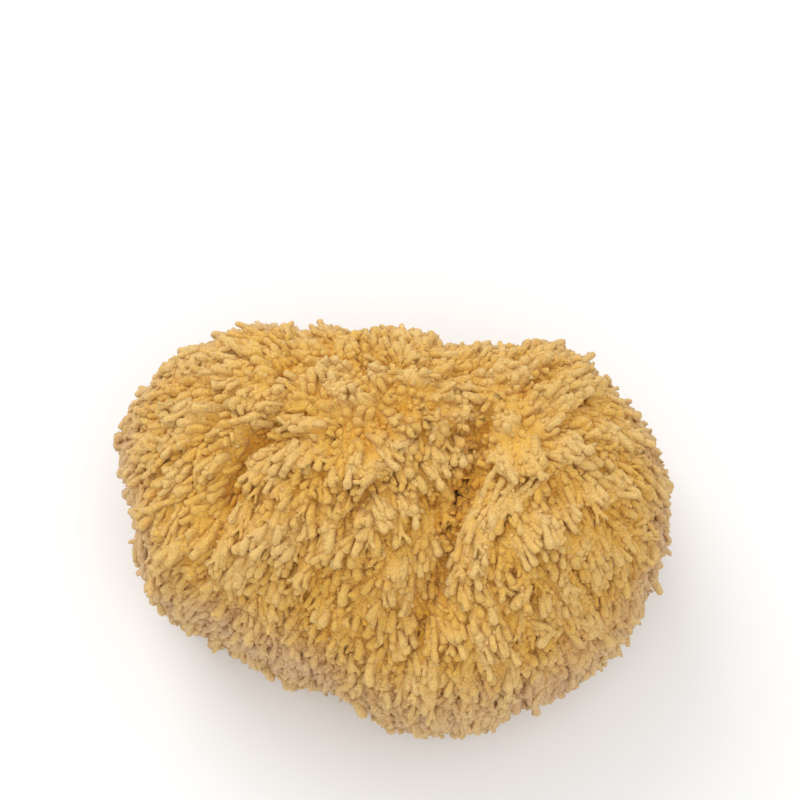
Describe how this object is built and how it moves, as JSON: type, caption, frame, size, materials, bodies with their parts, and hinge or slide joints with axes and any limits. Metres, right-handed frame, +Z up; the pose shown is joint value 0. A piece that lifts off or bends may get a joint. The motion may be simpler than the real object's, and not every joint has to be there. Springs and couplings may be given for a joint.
{
  "type": "natural sea sponge",
  "caption": "Large natural sea sponge, a lobed loaf covered in combed blunt tufts, lying on the flat face where it was cut from its rock.",
  "frame": {"origin": "in the plane of the cut face, under the middle of the sponge's bounding box", "axes": "+X along the longest side, towards the rounder lobe; +Y towards the straighter long side; +Z up from the cut face to the crown"},
  "size_m": [0.1648, 0.121, 0.0908],
  "materials": {
    "sponge_fibre": "dry matt golden spongin fibre, paler at the tips of the tufts and browner in the hollows"
  },
  "bodies": {
    "root": {"sponge": "sponge_fibre"}
  },
  "joints": []
}
